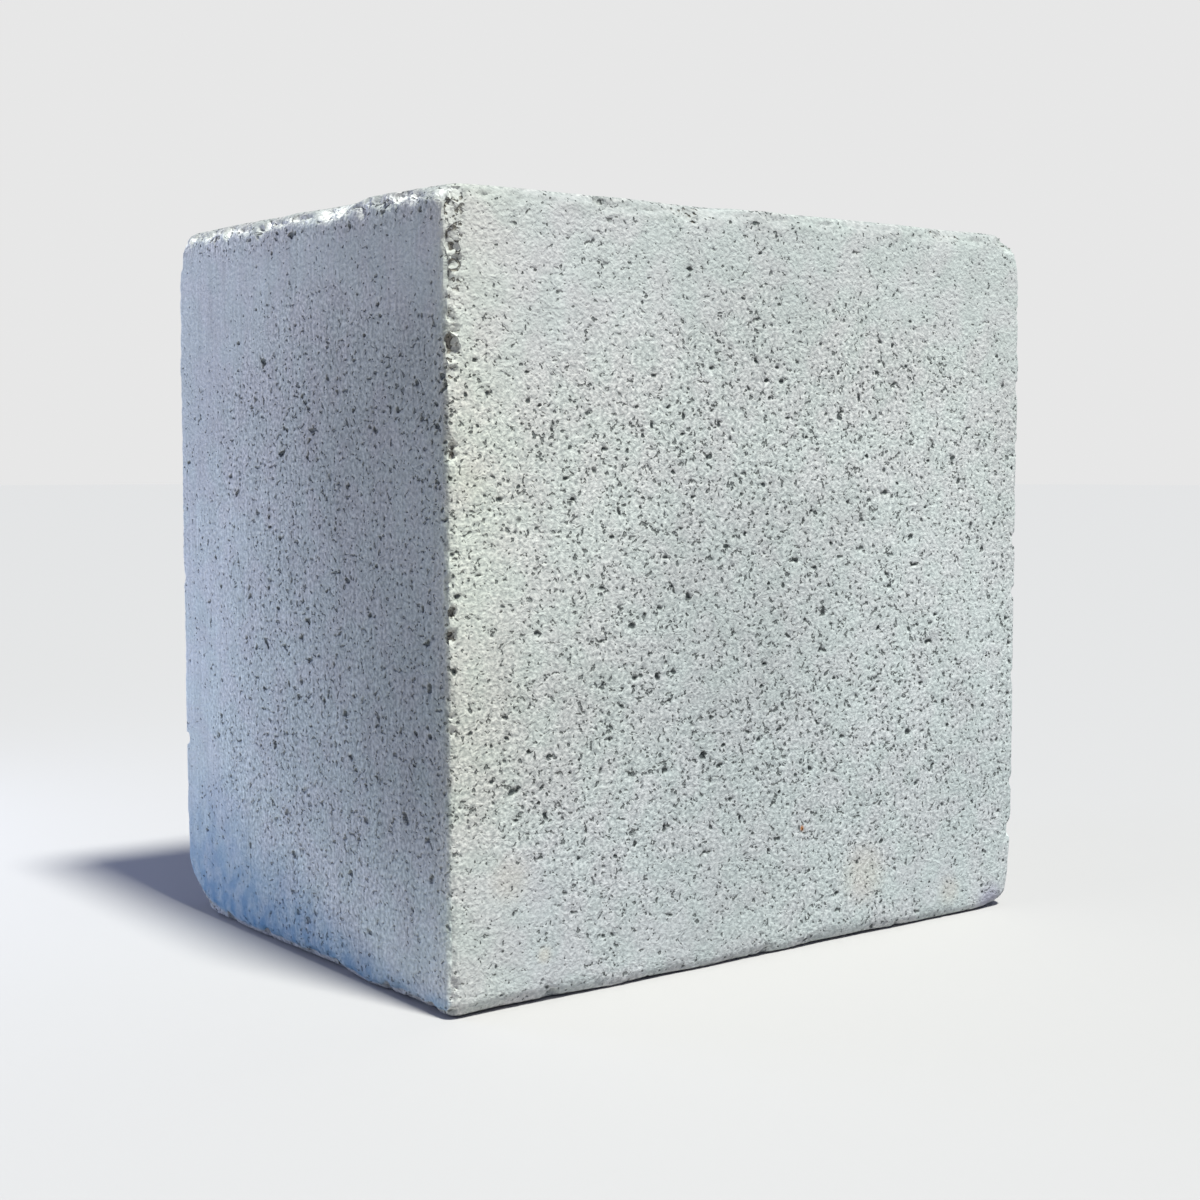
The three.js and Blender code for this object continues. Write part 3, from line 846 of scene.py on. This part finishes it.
def with_painted_pit_shade(nodes, base, pit, shade_strength, pit_shade_hidden, look):
    """Paints shade into a kind of pit, as far as it isn't hidden."""
    shown = nodes.smooth(pit_shade_hidden, 0.0, FULL_COVER, shade_strength, COVERED_PIT * shade_strength)
    return nodes.blend(nodes.times(pit, shown), base, (*look.pit, 1))


def cracks_between_crumbs(nodes, where, ground, crumbs, gaps, dust_and_highlight):
    """The fine cracks in the loose skin, painted dark as shade, fewer on the left end and under the dust
    and painted highlight.
    """
    cracks = nodes.plus(ground, nodes.times(gaps, GAP_IN_CRACKS))
    cracks = nodes.times(nodes.smooth(cracks, *CRACK_NOISE), crumbs)
    cracks = nodes.times(cracks, nodes.smooth(where.on_end, *CRACKS_BY_END))
    return nodes.times(cracks, nodes.smooth(dust_and_highlight, *CRACKS_UNDER_DUST_AND_HIGHLIGHT))


def relief(nodes, height, sinkings):
    """The normal of a skin of the height given that is sunk by each field times its depth."""
    for field, depth in sinkings:
        height = nodes.minus(height, nodes.times(field, depth))
    return nodes.add("ShaderNodeBump", {"Height": height, "Distance": 1.0, "Strength": 1.0}).outputs[0]


def pressed_concrete(sizes, look):
    material = bpy.data.materials.new("pressed_concrete")
    material.use_nodes = True
    nodes = Nodes(material.node_tree)
    nodes.tree.nodes.clear()
    where = where_is(nodes, kept_field(nodes, PRESSED_PLACE, "Vector"))
    crowding, crumbs, gaps, dust_and_highlight = (kept_field(nodes, name) for name in (CROWDING, CRUMBS, SHADED_GAPS, DUST_AND_HIGHLIGHT))
    open_texture = nodes.smooth(nodes.drift(where.place, sizes.cluster, detail=1.0), *CLUSTERS)
    small, large = small_and_large_pits(nodes, where, crowding, open_texture, sizes)
    sand = grouped(nodes, sand_group(), Place=where.place, Grain=sizes.grain)["Tone"]
    tone = nodes.smooth(sand, *SAND_TONES)

    base = sandy_paste(nodes, tone, crowding, sizes, look)
    base = toned(nodes, base, open_texture, *CLUSTER_TONES)
    # Paints light and shade on the faces, among slow tones and streaks.
    base = toned_and_shaded(nodes, base, where)
    base = stained(nodes, base, where.place, look)
    # Painted blue shade at the foot of the left end.
    base = blue_shade_at_foot(nodes, base, where, look)
    base = with_crumbs(nodes, base, where, crumbs, tone, look)
    # Dust and painted highlight along the left end's top arris.
    base = nodes.blend(nodes.times(dust_and_highlight, nodes.smooth(sand, *SPECKLED_DUST_AND_HIGHLIGHT)), base, (*look.dust_and_highlight, 1))
    pit_shade_hidden = hidden_pit_shade(nodes, where, crumbs, dust_and_highlight)
    # Painted shade in the small pits and the larger hollows.
    base = with_painted_pit_shade(nodes, base, small["Pit"], PIT_SHADE, pit_shade_hidden, look)
    base = with_painted_pit_shade(nodes, base, large["Pit"], HOLLOW_SHADE, pit_shade_hidden, look)
    cracks = cracks_between_crumbs(nodes, where, small["Ground"], crumbs, gaps, dust_and_highlight)
    # Painted shade in the cracks and the gaps between crumbs.
    base = nodes.blend(cracks, base, (*look.gap, 1))

    sinkings = (
        (small["Pit"], sizes.pit_depth),
        (large["Pit"], sizes.hollow_depth),
        (small["Ground"], sizes.ground_relief),
        (cracks, sizes.crack_depth),
    )
    values = {
        "Base Color": base,
        "Roughness": look.roughness,
        "Normal": relief(nodes, nodes.times(sand, sizes.grain_relief), sinkings),
        "Specular IOR Level": look.gloss,
    }
    surface = nodes.add("ShaderNodeBsdfPrincipled", values)
    nodes.add("ShaderNodeOutputMaterial", {"Surface": surface.outputs[0]})
    return material


# ---- The stage ----


def floor_material(stage):
    material = bpy.data.materials.new("pale_floor")
    material.use_nodes = True
    surface = material.node_tree.nodes["Principled BSDF"]
    surface.inputs["Base Color"].default_value = (*stage.floor, 1)
    surface.inputs["Roughness"].default_value = stage.floor_roughness
    return material


def lay_floor(stage):
    bpy.ops.mesh.primitive_circle_add(
        vertices=stage.floor_sides, radius=stage.floor_radius, fill_type="NGON"
    )
    floor = bpy.context.object
    floor.name = "floor"
    floor.data.materials.append(floor_material(stage))


def hang_key_light(scene, stage):
    key = bpy.data.objects.new("key", bpy.data.lights.new("key", "SUN"))
    key.data.energy = stage.key_strength
    key.data.color = stage.key
    key.data.angle = stage.key_softness
    key.rotation_euler = Vector(stage.key_from).to_track_quat("Z", "Y").to_euler()
    scene.collection.objects.link(key)


def stand_fill_light(scene, stage):
    fill = bpy.data.objects.new("fill", bpy.data.lights.new("fill", "AREA"))
    fill.data.energy = stage.fill_power
    fill.data.color = stage.fill
    fill.data.size = stage.fill_width
    fill.location = stage.fill_place
    fill.rotation_euler = (fill.location - CENTRE).to_track_quat("Z", "Y").to_euler()
    scene.collection.objects.link(fill)


def light_from_all_round(scene, stage):
    """A soft sky that lights the block, and a paler backdrop where the camera looks past it."""
    scene.world = bpy.data.worlds.new("studio")
    scene.world.use_nodes = True
    nodes = Nodes(scene.world.node_tree)
    seen = nodes.add("ShaderNodeLightPath").outputs["Is Camera Ray"]
    sky = scene.world.node_tree.nodes["Background"]
    nodes.feed(sky.inputs["Color"], nodes.blend(seen, (*stage.sky, 1), (*stage.backdrop, 1)))
    scene.view_settings.view_transform = "Standard"


def place_camera(scene, stage):
    camera = bpy.data.objects.new("camera", bpy.data.cameras.new("camera"))
    camera.data.lens = stage.lens
    camera.data.clip_start = stage.nearest
    camera.location = stage.camera_place
    camera.rotation_euler = (LEVEL - stage.camera_dip, 0, -stage.camera_turn)
    scene.collection.objects.link(camera)
    scene.camera = camera


# ---- Operators ----


class OBJECT_OT_dress_block(Operator):
    """Makes the crumbled, pitted block over the pressed solid and gives it its concrete"""

    bl_idname = "object.dress_half_block"
    bl_label = "Dress the block"

    def execute(self, context):
        sizes, look = context.scene.block_sizes, context.scene.concrete_look
        block = crumbled_block(sizes)
        block.data.materials.clear()
        block.data.materials.append(pressed_concrete(sizes, look))
        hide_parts(BLOCK_NODE)
        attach(block, "root")
        return {"FINISHED"}


class OBJECT_OT_set_block_stage(Operator):
    """Sets up the pale floor, the soft light and the camera"""

    bl_idname = "object.set_half_block_stage"
    bl_label = "Set the stage"

    def execute(self, context):
        scene, stage = context.scene, context.scene.block_stage
        lay_floor(stage)
        hang_key_light(scene, stage)
        stand_fill_light(scene, stage)
        light_from_all_round(scene, stage)
        place_camera(scene, stage)
        return {"FINISHED"}


class VIEW3D_PT_half_block(Panel):
    bl_label = "Half block"
    bl_space_type = "VIEW_3D"
    bl_region_type = "UI"
    bl_category = "Block"

    def draw(self, context):
        scene = context.scene
        for group in (scene.block_sizes, scene.concrete_look, scene.block_stage):
            box = self.layout.box()
            for name in group.__annotations__:
                box.prop(group, name)
        self.layout.operator(OBJECT_OT_dress_block.bl_idname)
        self.layout.operator(OBJECT_OT_set_block_stage.bl_idname)


CLASSES = (
    BlockSizes,
    ConcreteLook,
    StageSettings,
    OBJECT_OT_dress_block,
    OBJECT_OT_set_block_stage,
    VIEW3D_PT_half_block,
)


def register():
    for cls in CLASSES:
        bpy.utils.register_class(cls)
    bpy.types.Scene.block_sizes = PointerProperty(type=BlockSizes)
    bpy.types.Scene.concrete_look = PointerProperty(type=ConcreteLook)
    bpy.types.Scene.block_stage = PointerProperty(type=StageSettings)


def unregister():
    del bpy.types.Scene.block_sizes, bpy.types.Scene.concrete_look, bpy.types.Scene.block_stage
    for cls in reversed(CLASSES):
        bpy.utils.unregister_class(cls)


def main():
    register()
    bpy.ops.object.dress_half_block()
    bpy.ops.object.set_half_block_stage()


if __name__ == "__main__":
    main()
